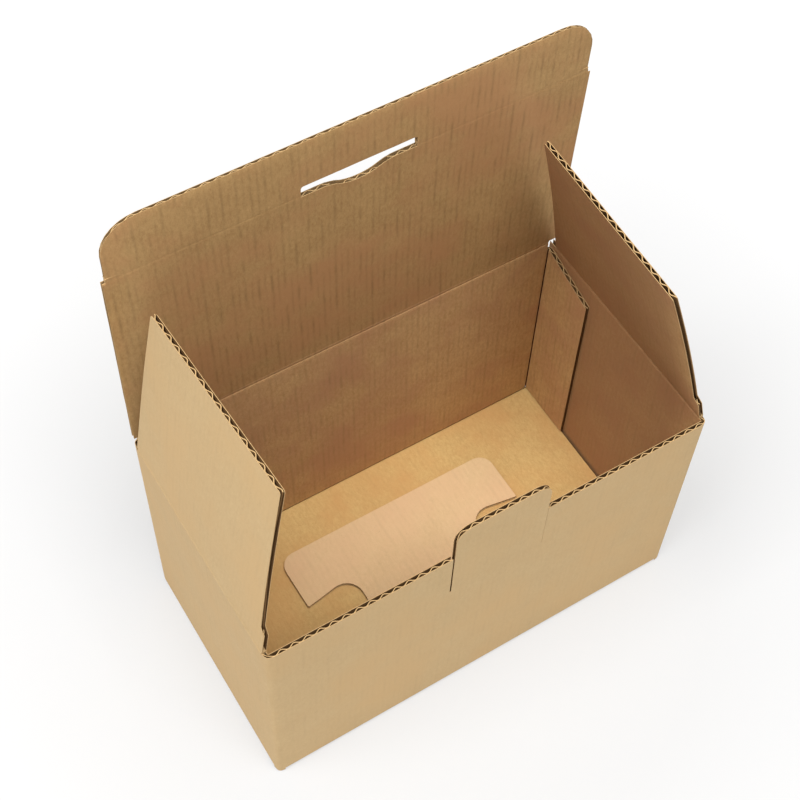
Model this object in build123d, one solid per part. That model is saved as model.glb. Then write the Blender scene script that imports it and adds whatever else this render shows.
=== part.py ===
from build123d import *
import math
import os

# A one-piece die-cut carton of single-wall corrugated board: a glued sleeve with a snap-lock
# bottom, two side dust flaps, a lid with a tuck flap, and a lock tab in the front wall.
# X runs along the front wall, the front faces -Y, Z is up, and the origin is the middle of the base.
# All sizes are in millimetres.

# Sleeve
box_length = 235.0
box_depth = 127.0
wall_height = 136.0
fold_radius = 2.5

# Corrugated board: two liners and a wavy medium between them
board = 2.3
liner = 0.25
medium = 0.25
flute_pitch = 6.35
flute_crest = 1.2
flute_stop = 4.0

# Creases that move
bead_radius = 0.6
bead_clearance = 0.1
crease_angle = 43.5
lid_back_angle = 28.5

# Side dust flaps, measured from the front face and up from the crease
flap_height = 112.5
flap_front_base = 3.7
flap_front_top = 10.0
flap_shoulder_height = 15.0
flap_shoulder_step = 3.2
flap_rear_gap = 2.3
flap_rear_slant = 15.0
left_flap_lean = 7.6
right_flap_lean = 16.7

# Lid and tuck flap
lid_depth = 121.0
lid_lean = 1.5
lid_side_gap = 0.5
tuck_depth = 31.5
tuck_side_gap = 2.0
tuck_corner_radius = 17.0

# Lock slot at the tuck crease, with a finger dip in the lid
slot_length = 56.0
slot_width = 5.5
slot_corner_radius = 1.5
dip_length = 28.0
dip_depth = 4.2

# Lock tab in the front wall
tab_width = 50.0
tab_height = 22.0
tab_corner_radius = 8.0
tab_offset = 2.5
slit_depth = 32.0
slit_width = 0.8

# Glue flap inside the right wall
glue_width = 35.0
glue_top_drop = 3.0
glue_slope = 10.0

# Snap-lock bottom: the front panel lies outermost, then the side panels, then the back panel,
# and the front panel's tongue comes up through the back panel's recess to lie on top
layer_gap = 0.3
panel_side_gap = 0.5
front_panel_taper = 22.0
front_panel_reach = 55.0
shoulder_radius = 6.0
root_width = 73.0
root_ramp = 24.0
root_clearance = 0.8
tongue_width = 130.0
tongue_near = 65.0
tongue_far = 96.0
tongue_corner_radius = 8.0
ear_notch_radius = 7.5
side_panel_reach = 74.0
side_panel_taper = 18.0
side_panel_end_gap = 6.0
side_panel_radius = 5.0
foot_gap = 3.0
foot_corner = 12.0

front_y = -box_depth / 2
back_y = box_depth / 2
left_x = -box_length / 2
right_x = box_length / 2
lid_axis_height = wall_height + board
layer_step = board + layer_gap
side_panel_base = layer_step
back_panel_base = 2 * layer_step
tongue_base = 3 * layer_step
seat_radius = bead_radius + bead_clearance
web = 1.4 * medium
root_flat = ear_notch_radius + 0.5


def flutes(left, right, start, stop):
    """Flute channels of a board with its outer face on Z 0 and its inner face below it, running along Y."""
    step = flute_pitch / 2
    wide = flute_pitch - flute_crest - 2 * web
    count = int((right - left - wide) / step) + 1
    first = (left + right - (count - 1) * step) / 2
    cells = Sketch()
    for index in range(count):
        x = first + index * step
        opens_inward = index % 2 == 0
        foot = board - liner if opens_inward else liner
        crown = liner + medium if opens_inward else board - liner - medium
        cells += Polygon(
            (x - wide / 2, foot),
            (x + wide / 2, foot),
            (x + flute_crest / 2, crown),
            (x - flute_crest / 2, crown),
            align=None,
        )
    across = Plane((0, start, 0), x_dir=(1, 0, 0), z_dir=(0, 1, 0))
    return extrude(across * cells, amount=stop - start, dir=(0, 1, 0))


def closed_face(points):
    """A flat face inside straight edges."""
    return make_face(Polyline(*points, close=True))


def slab(outline, top):
    """One board's thickness of an outline, with its upper face at the given height."""
    return extrude(Pos(0, 0, top) * outline, amount=-board)


def flank_cuts(length, inner_angle, outer_angle):
    """What a crease crushes away above and beside a hinge axis on X, for the board on its -Y side."""
    reach = board
    cuts = []
    for side, angle in ((1, outer_angle), (-1, inner_angle)):
        drop = reach / math.tan(math.radians(angle))
        profile = Plane.YZ * closed_face([(0, 0), (reach, 0), (reach, side * reach), (-drop, side * reach)])
        cuts.append(extrude(profile, amount=length / 2, both=True))
    return cuts


def seat_cut(length, inner_angle, outer_angle):
    """The moving crease's seat at the top of a board that hangs below a hinge axis on X."""
    groove = Cylinder(seat_radius, length, rotation=(0, 90, 0))
    return [groove] + flank_cuts(length, inner_angle, outer_angle)


def hinged_board(outline, bead_spans, inner_angle, outer_angle):
    """A board that rises from a hinge axis on X, with a wedge and a round bead along its crease."""
    sheet = extrude(outline, amount=board / 2, both=True)
    size = 2 * box_length
    for cut in flank_cuts(size, inner_angle, outer_angle):
        sheet -= mirror(cut, Plane.XZ)
    for start, stop in bead_spans:
        middle = (start + stop) / 2
        sheet += Pos(middle, 0, 0) * Cylinder(bead_radius, stop - start, rotation=(0, 90, 0))
    return sheet


def dust_flap(lean):
    """The right dust flap in its hinge's frame: X to the rear, Y up, Z outward."""
    front_base = front_y + flap_front_base
    rear_base = back_y - board - flap_rear_gap
    step_y = front_base + flap_shoulder_step
    outline = closed_face([
        (front_base, 0),
        (front_base, flap_shoulder_height),
        (step_y, flap_shoulder_height + flap_shoulder_step),
        (front_y + flap_front_top, flap_height),
        (rear_base - flap_rear_slant, flap_height),
        (rear_base, 0),
    ])
    flap = hinged_board(outline, [(front_base, rear_base)], crease_angle, crease_angle)
    flap -= Pos(0, 0, board / 2) * flutes(front_base, rear_base, flute_stop, flap_height + board)
    return flap.rotate(Axis.X, -lean)


def side_frame():
    """The right dust flap's hinge frame: the axis lies in the middle of the board."""
    return Plane((right_x - board / 2, 0, wall_height), x_dir=(0, 1, 0), z_dir=(1, 0, 0))


def lid_frame():
    """The lid's hinge frame: X to the left, Y up and Z to the rear, leaning a little to the front."""
    upright = Plane((0, back_y - board / 2, lid_axis_height), x_dir=(-1, 0, 0), z_dir=(0, 1, 0))
    return upright.location * Rot(-lid_lean, 0, 0)


def finger_dip():
    """The dip in the lid's edge, under a line on Y 0."""
    half = dip_length / 2
    curve = Spline((-half, 0), (0, -dip_depth), (half, 0), tangents=[(1, 0), (1, 0)])
    lip = Polyline((half, 0), (half, slot_width), (-half, slot_width), (-half, 0))
    return make_face(curve + lip)


def lid_board():
    """The lid in its hinge frame, with the tuck crease's seat and the lock slot at its upper end."""
    half = box_length / 2 - lid_side_gap
    outline = Pos(0, lid_depth / 2) * Rectangle(2 * half, lid_depth)
    lid = hinged_board(outline, [(-half, half)], crease_angle, lid_back_angle)
    for cut in seat_cut(2 * box_length, crease_angle, crease_angle):
        lid -= Pos(0, lid_depth, 0) * cut
    lip = lid_depth - seat_radius
    opening = Pos(0, lip + slot_width / 2) * Rectangle(slot_length, slot_width)
    opening += Pos(0, lip) * finger_dip()
    lid -= extrude(opening, amount=board, both=True)
    lid -= Pos(0, 0, board / 2) * flutes(-slot_length / 2, slot_length / 2, flute_stop, lid_depth + board)
    return lid


def tuck_board():
    """The tuck flap in its own hinge frame, with rounded corners and the lock slot at its crease."""
    half = box_length / 2 - tuck_side_gap
    sheet = Pos(0, tuck_depth / 2) * Rectangle(2 * half, tuck_depth)
    far_corners = sheet.vertices().group_by(Axis.Y)[-1]
    sheet = fillet(far_corners, tuck_corner_radius)
    slot = Pos(0, 0) * Rectangle(slot_length, 2 * slot_width)
    slot = fillet(slot.vertices().group_by(Axis.Y)[-1], slot_corner_radius)
    spans = [(-half, -slot_length / 2), (slot_length / 2, half)]
    tuck = hinged_board(sheet - slot, spans, crease_angle, crease_angle)
    tuck -= Pos(0, 0, board / 2) * flutes(-half, half, flute_stop, tuck_depth + board)
    return tuck


def sleeve():
    """The four walls, folded at three corners and glued at the back right one."""
    outer = Rectangle(box_length, box_depth)
    folded = [v for v in outer.vertices() if v.X < 0 or v.Y < 0]
    outer = fillet(folded, fold_radius)
    inner = Rectangle(box_length - 2 * board, box_depth - 2 * board)
    walls = extrude(outer - inner, amount=wall_height)
    low_edges = walls.edges().group_by(Axis.Z)[0]
    outline = [e for e in low_edges if is_folded_edge(e)]
    walls = fillet(outline, fold_radius - 0.5)
    strip = Pos(0, back_y - board / 2, wall_height + board / 2) * Box(box_length, board, board)
    return walls + strip


def is_folded_edge(edge):
    """True for the front and side bottom edges, where a panel folds in under the box."""
    middle = edge.center()
    on_side = abs(abs(middle.X) - box_length / 2) < 0.01
    on_front = abs(middle.Y - front_y) < 0.01
    return on_side or on_front


def back_wall_foot():
    """The gap under the back wall, whose panel folds in above the other layers."""
    width = box_length - 2 * board
    gap = Pos(0, back_y - board, 0) * Box(width, 2 * board, 2 * back_panel_base)
    crease = Pos(0, back_y, back_panel_base) * Box(width, 2 * (fold_radius - 0.5), 2 * (fold_radius - 0.5))
    bend = Pos(0, back_y - fold_radius + 0.5, back_panel_base + fold_radius - 0.5)
    crease -= bend * Cylinder(fold_radius - 0.5, 2 * box_length, rotation=(0, 90, 0))
    return gap + crease


def glue_seam():
    """The round bend of the back wall beside the right wall's bare cut edge."""
    size = fold_radius
    corner = Pos(right_x - board - size / 2, back_y - size / 2) * Rectangle(size, size)
    bend = Pos(right_x - board - size, back_y - size) * Circle(size)
    return extrude(corner - bend, amount=lid_axis_height)


def glue_flap():
    """The flap that the back wall ends in, flat against the right wall's inside."""
    top = wall_height - glue_top_drop
    foot = tongue_base + layer_gap
    rear = back_y - board
    side = Plane((right_x - board, 0, 0), x_dir=(0, 1, 0), z_dir=(1, 0, 0))
    front = rear - glue_width
    outline = closed_face([(rear + 1, foot), (rear + 1, top), (rear, top), (front, top - glue_slope), (front, foot)])
    flap = extrude(outline, amount=-board)
    flap -= flutes(front, rear - board, foot + flute_stop, wall_height)
    return side * flap


def front_tab():
    """The lock tab, which rises from the front wall."""
    foot = wall_height - slit_depth
    top = wall_height + tab_height
    sheet = Pos(tab_offset, (foot + top) / 2) * Rectangle(tab_width, top - foot)
    sheet = fillet(sheet.vertices().group_by(Axis.Y)[-1], tab_corner_radius)
    wall = Plane((0, front_y, 0), x_dir=(1, 0, 0), z_dir=(0, -1, 0))
    return wall * extrude(sheet, amount=-board)


def tab_slits():
    """The two slits that part the tab from the front wall."""
    cuts = []
    for side in (-1, 1):
        x = tab_offset + side * (tab_width + slit_width) / 2
        cuts.append(Pos(x, front_y, wall_height) * Box(slit_width, 4 * board, 2 * slit_depth))
    return cuts


def front_flutes():
    """The front wall's channels, which open in its top edge and in the tab's."""
    wall = Plane((0, front_y, 0), x_dir=(1, 0, 0), z_dir=(0, -1, 0))
    reach = box_length / 2 - board
    return wall * flutes(-reach, reach, board + flute_stop, wall_height + tab_height + board)


def front_panel():
    """The outermost bottom panel, with its root and the tongue that lies on the back panel."""
    start = front_y + board / 2
    shoulder = front_y + front_panel_reach
    half = box_length / 2 - board
    end_half = half - front_panel_taper
    outline = closed_face([(-half, start), (half, start), (end_half, shoulder), (-end_half, shoulder)])
    outline = fillet(outline.vertices().group_by(Axis.Y)[-1], shoulder_radius)
    near = front_y + tongue_near
    far = front_y + tongue_far
    ramp_top = near - root_flat
    ramp_foot = ramp_top - root_ramp
    half_root = root_width / 2
    edge_half = half_root + root_clearance
    outline -= Pos(0, (ramp_foot + shoulder) / 2) * Rectangle(2 * edge_half, shoulder - ramp_foot + 0.01)
    panel = slab(outline, board)
    crease_end = front_y + board + flute_stop
    for left, right in ((-half, -edge_half), (edge_half, half)):
        panel -= Pos(0, 0, board) * flutes(left, right, crease_end, shoulder + board)
    low = [(ramp_foot - 1, 0), (ramp_foot, 0), (ramp_top, tongue_base), (near + 1, tongue_base)]
    profile = low + [(y, z + board) for y, z in reversed(low)]
    panel += extrude(Plane.YZ * closed_face(profile), amount=half_root, both=True)
    tongue = Pos(0, (near + far) / 2) * Rectangle(tongue_width, far - near)
    tongue = fillet(tongue.vertices().group_by(Axis.Y)[-1], tongue_corner_radius)
    tongue += ear_fillets(near, half_root)
    sheet = slab(tongue, tongue_base + board)
    lay = Pos(0, 0, tongue_base + board)
    sheet -= lay * flutes(-tongue_width / 2, tongue_width / 2, near - 0.7, far + board)
    return panel + sheet


def ear_fillets(near, half_root):
    """The round inner corners between the tongue's ears and its root, and the root's flat last strip."""
    r = ear_notch_radius
    strip = Pos(0, near - root_flat / 2) * Rectangle(2 * half_root, root_flat)
    corners = Sketch()
    for side in (-1, 1):
        square = Pos(side * (half_root + r / 2), near - r / 2) * Rectangle(r, r)
        corners += square - Pos(side * (half_root + r), near - r) * Circle(r)
    return strip + corners


def side_panel():
    """The left side's bottom panel, which ramps up beside the wall to lie on the front panel."""
    wall = left_x + board / 2
    inner = left_x + board + side_panel_reach
    front = front_y + board + side_panel_end_gap
    rear = back_y - board - side_panel_end_gap
    outline = closed_face([
        (wall, front),
        (inner, front + side_panel_taper),
        (inner, rear - side_panel_taper),
        (wall, rear),
    ])
    outline = fillet(outline.vertices().group_by(Axis.X)[-1], side_panel_radius)
    ramp_foot = left_x + board + 1
    ramp_top = ramp_foot + 3 * layer_step
    low = [(wall, 0), (ramp_foot, 0), (ramp_top, side_panel_base), (inner + 1, side_panel_base)]
    profile = low + [(x, z + board) for x, z in reversed(low)]
    bent = extrude(Plane.XZ * closed_face(profile), amount=box_depth, both=True)
    column = extrude(outline, amount=wall_height)
    lay = Pos(0, 0, side_panel_base + board) * Rot(0, 0, -90)
    return (bent & column) - lay * flutes(front, rear, ramp_top + 1, inner + board)


def back_panel():
    """The innermost bottom panel, whose two feet leave a recess for the root."""
    half = box_length / 2 - board - panel_side_gap
    rear = back_y - board / 2
    front = front_y + board + foot_gap
    edge_half = root_width / 2 + root_clearance
    recess_end = front_y + tongue_near - root_flat + 0.5
    outline = closed_face([
        (-half, rear),
        (-half, front + foot_corner),
        (-half + foot_corner / 2, front),
        (-edge_half - 4, front),
        (-edge_half, front + foot_corner),
        (-edge_half, recess_end),
        (edge_half, recess_end),
        (edge_half, front + foot_corner),
        (edge_half + 4, front),
        (half - foot_corner / 2, front),
        (half, front + foot_corner),
        (half, rear),
    ])
    lay = Pos(0, 0, back_panel_base + board)
    return slab(outline, back_panel_base + board) - lay * flutes(-half, half, front - board, rear - flute_stop)


def side_seats():
    """The crease seats along the tops of the two side walls."""
    run = box_depth - 2 * board - 0.4
    cuts = []
    for cut in seat_cut(run, crease_angle, crease_angle):
        right = side_frame() * cut
        cuts.append(right)
        cuts.append(mirror(right, Plane.YZ))
    return cuts


def lid_seat():
    """The crease seat along the top of the back wall."""
    upright = Plane((0, back_y - board / 2, lid_axis_height), x_dir=(-1, 0, 0), z_dir=(0, 1, 0))
    return [upright * cut for cut in seat_cut(2 * box_length, crease_angle, lid_back_angle)]


def body():
    """The folded and glued sleeve with its bottom, in one piece."""
    carton = sleeve()
    carton -= back_wall_foot()
    carton -= glue_seam()
    carton += front_tab()
    carton += front_panel()
    left_panel = side_panel()
    carton += left_panel
    carton += mirror(left_panel, Plane.YZ)
    carton += back_panel()
    carton += glue_flap()
    for cut in tab_slits() + side_seats() + lid_seat():
        carton -= cut
    carton -= front_flutes()
    return carton


def main():
    os.makedirs("parts", exist_ok=True)
    right_flap = side_frame() * dust_flap(right_flap_lean)
    left_flap = mirror(side_frame() * dust_flap(left_flap_lean), Plane.YZ)
    lid_place = lid_frame()
    tuck_place = lid_place * Pos(0, lid_depth, 0)
    export_step(body(), "parts/body.step")
    export_step(left_flap, "parts/left_flap.step")
    export_step(right_flap, "parts/right_flap.step")
    export_step(lid_place * lid_board(), "parts/lid.step")
    export_step(tuck_place * tuck_board(), "parts/tuck_flap.step")


main()
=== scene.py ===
import math

import bmesh
import bpy
from mathutils import Matrix, Vector, noise


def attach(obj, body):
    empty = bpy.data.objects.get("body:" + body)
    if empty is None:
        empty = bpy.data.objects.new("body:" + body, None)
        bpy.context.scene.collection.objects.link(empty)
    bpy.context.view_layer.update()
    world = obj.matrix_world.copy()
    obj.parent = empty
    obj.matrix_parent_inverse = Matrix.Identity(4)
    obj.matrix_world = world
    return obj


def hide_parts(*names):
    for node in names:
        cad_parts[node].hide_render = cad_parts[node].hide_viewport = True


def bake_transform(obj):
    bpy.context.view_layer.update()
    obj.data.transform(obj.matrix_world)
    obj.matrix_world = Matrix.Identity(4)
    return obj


# A kraft carton cut from one sheet of corrugated board. Each board has an outer liner, an inner
# liner and a real wave of medium between them, so every cut edge shows its flutes. Boards are
# laid out flat in millimetres and then folded or stood up in the frame, which is in metres.
# On a flat board X runs across the flutes, Y along them, and Z points to the carton's outside.

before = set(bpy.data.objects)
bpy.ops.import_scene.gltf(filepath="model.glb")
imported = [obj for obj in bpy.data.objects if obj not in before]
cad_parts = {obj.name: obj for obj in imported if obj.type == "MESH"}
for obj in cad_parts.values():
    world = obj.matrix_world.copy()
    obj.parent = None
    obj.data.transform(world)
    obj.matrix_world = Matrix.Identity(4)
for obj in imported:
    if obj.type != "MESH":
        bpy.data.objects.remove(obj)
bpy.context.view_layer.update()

MM = 0.001

# Board
BOARD = 2.3
HALF = BOARD / 2
LINER = 0.25
MEDIUM = 0.44
PITCH = 6.35
FLUTE_SKEW = 0.022
FOLD = 1.6
KNIFE_WANDER = 0.14
SHARP_ANGLE = 48

# A fixed crease: how much of the board is pressed away on its inner and outer side, how far
# that reaches, and how wide the painted shade along its inner side is
INNER_PRESS, INNER_REACH = 0.8, 0.6
OUTER_PRESS, OUTER_REACH = 0.3, 2.6
WALL_SHADE_WIDTH = 0.6
SIDE_SHADE_WIDTH = 3.0
BACK_SHADE_WIDTH = 0.3

# How far the medium stops inside a cut edge, and short of a sharp bend
FINE_INSET = 0.1
INSET = 0.15
WIDE_INSET = 0.2
BEND_CLEAR = 2.8

# How finely the flat sheets are divided
STEPS_PER_WAVE = 8
PATCH = 9.0
LONG_PATCH = 12.0
BACK_PATCH = 10.0
TUCK_PATCH = 8.0

# Sleeve
LENGTH = 235.0
DEPTH = 127.0
WALL = 136.0
LID_AXIS = WALL + BOARD
SIDE_X = LENGTH / 2 - HALF
WALL_Y = DEPTH / 2 - HALF
FOOT_LIFT = 0.8
FOOT_HALF = 2.6
BACK_START = 1.2
CORNER_RUN = 3.0
BACK_SAG = 0.6

# Glue flap
GLUE_WIDTH = 35.0
GLUE_X = SIDE_X - BOARD
GLUE_FRONT = DEPTH / 2 - BOARD - GLUE_WIDTH
GLUE_START = 1.5
GLUE_TOP = 133.0
GLUE_TIP = 123.0
GLUE_LIFT = 0.5

# How far each board stops short of a crease that moves
CREASE = 1.4
LID_CREASE = 1.9

# Dust flaps
FLAP_FRONT = 3.7 - DEPTH / 2
FLAP_REAR = DEPTH / 2 - BOARD - 3.0
FLAP_HEIGHT = 112.5
FLAP_TOP_FRONT = -53.5
FLAP_SLANT = 15.0
FLAP_SHOULDER = 15.0
FLAP_STEP = 3.2
FLAP_CORNER = 1.5
FLAP_HALF = 58.0
FLAP_CROWN = 60.0
LEFT_LEAN = 7.6
RIGHT_LEAN = 16.7

# Lid, with a finger dip in its end
LID = 121.0
LID_HALF = 117.0
LID_LEAN = 1.5
LID_BULGE = 0.9
DIP_HALF = 14.0
DIP_FLAT = 5.5
DIP_DEPTH = 4.2
DIP_CORNER = 4.0

# Tuck flap
TUCK = 31.35
TUCK_HALF = 115.5
TUCK_CORNER = 17.0
TUCK_STEPS = (1.2, 3.0, 6.0)
TUCK_PRESS = 0.4
TUCK_PRESS_WIDTH = 1.8

# Lock slot at the tuck crease: its edge in the lid and its edge in the tuck flap
SLOT_HALF = 28.0
SLOT_LOW = 120.3
SLOT_HIGH = 5.5
SLOT_CORNER = 1.5

# Lock tab
TAB_LEFT = -22.5
TAB_RIGHT = 27.5
TAB_TOP = 158.0
TAB_CORNER = 8.0
SLIT_FOOT = 104.0
LEFT_SLIT = 0.8
RIGHT_SLIT = 0.12

# Bottom layers, by the height of each board's middle
LAYER = BOARD + 0.3
PANEL_LEVEL = HALF
SIDE_LEVEL = HALF + LAYER
BACK_LEVEL = HALF + 2 * LAYER
TONGUE_LEVEL = HALF + 3 * LAYER
FOLD_START = PANEL_LEVEL + FOLD
BACK_FOLD_START = BACK_LEVEL + FOLD
PANEL_FOLD = FOLD - 0.05
PANEL_FOOT = 4.5
PANEL_RUN = 200.0

# Front panel. Distances in Y are from the middle of the box: positive is behind it.
FRONT_END = -8.5
FRONT_TAPER = 22.0
FRONT_CORNER = 6.0
ROOT_START = -30.5
ROOT_RUN = 24.0
ROOT_CUT = 0.8
ROOT_HALF = 36.0
ROOT_GAP = 0.4
TONGUE_MIDDLE = 2.8
TONGUE_NEAR = 3.3
TONGUE_DEPTH = 31.8
NECK = 4.8
NECK_CORNER = 12.0
EAR_HALF = 65.0
EAR_CORNER = 8.0
EAR_POINT = 0.8

# Side panels
SIDE_RAMP_START = BOARD + 1 - HALF
SIDE_RAMP_RUN = 3 * LAYER
SIDE_END = 41.2
SIDE_GAP = 6.0
SIDE_TAPER = 18.0
SIDE_CORNER = 5.0
SIDE_RUN = 90.0

# Back panel
BACK_REACH = 58.2
BACK_GAP = 1.4
RECESS_HEAD = 6.0
RECESS_HALF = 36.05
TOE = 12.0
TOE_SLOPE = 4.0

# Crushed strips at the creases that move. A groove is how deeply a crease is pressed from the
# inside and from the outside.
STRIP_OVERLAP = 0.3
STRIP_THINNER = 0.03
STRIP_ROWS = 14
GROOVE_HALF = 0.5
FLAP_GROOVE = (0.3, 0.35)
LID_GROOVE = (0.35, 0.4)
TUCK_GROOVE = (0.06, 0.2)
LID_STRIP_GAP = 1.6

# Studio
DOME_LEVEL = 0.34
FLOOR_SHADE = 0.8
FLOOR_SHOWN = 0.3
# The floor's shown white is dimmer near the box, a painted shadow
FLOOR_LIFT_NEAR = 0.46
FLOOR_LIFT_FAR = 0.7
FLOOR_NEAR, FLOOR_FAR = 0.16, 0.5
FLOOR_SIZE = 6.0
FLOOR_DROP = 0.0002

# Camera
AZIMUTH, ELEVATION, ROLL = -33.721, 56.714, -2.696
DISTANCE = 0.728221
FOCAL_PIXELS = 1554.1
PHOTO_PIXELS = 800
SENSOR = 36.0
TARGET = Vector((0, 0.020181, 0.135844))

# Which paper a face shows; the last is a dark paper painted as shade along the inner side of folds
OUTSIDE, INSIDE, CORE, RIM, CREASE_SHADE = range(5)


# ---------------------------------------------------------------- shader maths


class Flow:
    """A node socket that adds Math nodes when it is used in an expression."""

    def __init__(self, tree, socket):
        self.tree = tree
        self.socket = socket

    def math(self, operation, *others):
        return self.tree.add("ShaderNodeMath", {"operation": operation}, self, *others)

    def __add__(self, other):
        return self.math("ADD", other)

    __radd__ = __add__

    def __mul__(self, other):
        return self.math("MULTIPLY", other)

    __rmul__ = __mul__

    def __sub__(self, other):
        return self.math("SUBTRACT", other)

    def __rsub__(self, other):
        return self.tree.add("ShaderNodeMath", {"operation": "SUBTRACT"}, other, self)

    def __pow__(self, other):
        return self.math("POWER", other)

    def clamp(self):
        return self.tree.add("ShaderNodeClamp", {}, self)

    def sine(self):
        return self.math("SINE")


class Recipe:
    """The node tree of a material or of the studio's world."""

    def __init__(self, owner):
        owner.use_nodes = True
        self.owner = owner
        self.nodes = owner.node_tree.nodes
        self.links = owner.node_tree.links
        self.shader = self.nodes.get("Principled BSDF")

    def node(self, kind, settings, *values, **named):
        made = self.nodes.new(kind)
        for key, value in settings.items():
            setattr(made, key, value)
        for index, value in enumerate(values):
            self.feed(made.inputs[index], value)
        for key, value in named.items():
            self.feed(made.inputs[key.replace("_", " ")], value)
        return made

    def add(self, kind, settings, *values, **named):
        return Flow(self, self.node(kind, settings, *values, **named).outputs[0])

    def feed(self, socket, value):
        if isinstance(value, Flow):
            self.links.new(value.socket, socket)
        elif value is not None:
            socket.default_value = value

    def coordinates(self, kind):
        return Flow(self, self.node("ShaderNodeTexCoord", {}).outputs[kind])

    def flat_sheet(self):
        """A point's place on the flat blank, in metres: X across the flutes, Y along them."""
        return self.coordinates("UV")

    def place(self):
        return self.coordinates("Object")

    def stretch(self, vector, scale):
        return self.add("ShaderNodeVectorMath", {"operation": "MULTIPLY"}, vector, scale)

    def length(self, vector):
        made = self.node("ShaderNodeVectorMath", {"operation": "LENGTH"}, vector)
        return Flow(self, made.outputs["Value"])

    def x_of(self, vector):
        return self.add("ShaderNodeSeparateXYZ", {}, vector)

    def cloud(self, vector, scale, detail, roughness=0.5):
        return self.add(
            "ShaderNodeTexNoise", {"noise_dimensions": "3D"},
            Vector=vector, Scale=scale, Detail=detail, Roughness=roughness,
        )

    def tint(self, factor, low, high):
        made = self.node("ShaderNodeMix", {"data_type": "RGBA"})
        for index, value in ((0, factor), (6, low), (7, high)):
            self.feed(made.inputs[index], value)
        return Flow(self, made.outputs[2])

    def step(self, factor, low, high):
        return self.add("ShaderNodeMapRange", {"clamp": True}, factor, low, high, 0.0, 1.0)

    def shown_white(self):
        """1 for the rays that see the backdrop itself, or see it in a gloss or through a film."""
        path = self.node("ShaderNodeLightPath", {})
        camera, glossy, through = (
            Flow(self, path.outputs[name])
            for name in ("Is Camera Ray", "Is Glossy Ray", "Is Transmission Ray")
        )
        return camera.math("MAXIMUM", glossy).math("MAXIMUM", through)

    def bump(self, height, distance, strength):
        made = self.node(
            "ShaderNodeBump", {}, Strength=strength, Distance=distance, Height=height
        )
        self.links.new(made.outputs[0], self.shader.inputs["Normal"])

    def set(self, **values):
        for key, value in values.items():
            self.feed(self.shader.inputs[key.replace("_", " ")], value)
        return self.owner


def new_paper(name):
    return Recipe(bpy.data.materials.new(name))


def srgb(red, green, blue):
    """A colour as it is seen, 0 to 255, for a shader."""
    def linear(level):
        level /= 255
        return level / 12.92 if level < 0.04045 else ((level + 0.055) / 1.055) ** 2.4
    return (linear(red), linear(green), linear(blue), 1.0)


def faded(colour, share):
    return tuple(c * share for c in colour[:3]) + (1.0,)


def grey(level):
    return (level, level, level, 1.0)


# ---------------------------------------------------------------- papers


def kraft_liner(name, base, pale, dark, warm, glue_lines, sharpness, clouding, right_side_shade=None):
    """A liner: cloudy pulp, short fibres, and broken lines where flutes are glued under it.

    glue_lines and clouding say how strongly those show, and sharpness how narrow the lines are.
    The last argument is a darker tone painted near the first edge of the blank, as shade on the
    inner faces of the right wall and the right dust flap.
    """
    r = new_paper(name)
    sheet = r.flat_sheet()
    place = r.place()
    shadow = faded(base, 0.5)

    patches = r.cloud(place, 26.0, 3.0, 0.6)
    clouds = r.cloud(place, 70.0, 4.0, 0.6)
    mottle = r.cloud(r.stretch(sheet, (700.0, 300.0, 1.0)), 1.0, 4.0, 0.65)
    fibres = r.cloud(r.stretch(sheet, (3200.0, 500.0, 1.0)), 1.0, 2.0, 0.6)
    cross_fibres = r.cloud(r.stretch(sheet, (600.0, 2800.0, 1.0)), 1.0, 2.0, 0.6)
    specks = r.step(r.cloud(r.stretch(sheet, (1900.0, 1200.0, 1.0)), 1.0, 1.0), 0.66, 0.76)

    wander = r.cloud(r.stretch(sheet, (60.0, 60.0, 1.0)), 1.0, 2.0) * 1.1
    phase = r.x_of(sheet) * (2 * math.pi / (PITCH * MM)) + wander
    crest = (0.5 + 0.5 * phase.sine()) ** sharpness
    half_crest = (0.5 - 0.5 * phase.sine()) ** (sharpness * 1.5)
    gaps = r.cloud(r.stretch(sheet, (170.0, 60.0, 1.0)), 1.0, 3.0, 0.65)
    broken = r.step(gaps, 0.4, 0.64)
    lines = crest * broken + half_crest * (0.6 * broken)

    tone = 0.5 + (clouds - 0.5) * (1.3 * clouding) + (mottle - 0.5) * (2.2 * clouding)
    tone = tone + (fibres - 0.5) * (1.6 * clouding) + (cross_fibres - 0.5) * (1.4 * clouding)
    paper = r.tint(tone.clamp(), dark, pale)
    paper = r.tint(0.2, paper, base)
    paper = r.tint(r.step(patches, 0.4, 0.66) * 0.75, paper, warm)
    # Painted shade: darkens the inner faces of the right wall and the right dust flap, which lie
    # near the blank's first edge
    if right_side_shade:
        in_right_side_shade = 1 - r.step(r.x_of(sheet), DEPTH * 0.85 * MM, DEPTH * 1.05 * MM)
        paper = r.tint(in_right_side_shade * 0.6, paper, right_side_shade)
    paper = r.tint(lines * glue_lines, paper, shadow)
    paper = r.tint(specks * 0.3, paper, shadow)

    r.bump(fibres * 0.3 + cross_fibres * 0.22 + mottle * 0.3 - lines * 0.25, 0.00016, 0.5)
    return r.set(Base_Color=paper, Roughness=0.84 - 0.12 * mottle, Specular_IOR_Level=0.2)


def kraft_core(name, crest, trough):
    """The medium: a darker, rougher recycled paper."""
    r = new_paper(name)
    place = r.place()
    grain = r.cloud(place, 900.0, 3.0, 0.6)
    fuzz = r.cloud(place, 4200.0, 2.0, 0.6)
    r.bump(grain * 0.5 + fuzz * 0.5, 0.0002, 0.6)
    return r.set(
        Base_Color=r.tint(grain, trough, crest), Roughness=0.92, Specular_IOR_Level=0.12
    )


def cut_rim(name, pale, dark):
    """A liner's own cut edge, a little furred by the knife. The same recipe makes the dark paper
    painted as shade in the creases.
    """
    r = new_paper(name)
    fur = r.cloud(r.place(), 2600.0, 3.0, 0.7)
    r.bump(fur, 0.00015, 0.6)
    return r.set(Base_Color=r.tint(fur, dark, pale), Roughness=0.9, Specular_IOR_Level=0.12)


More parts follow.
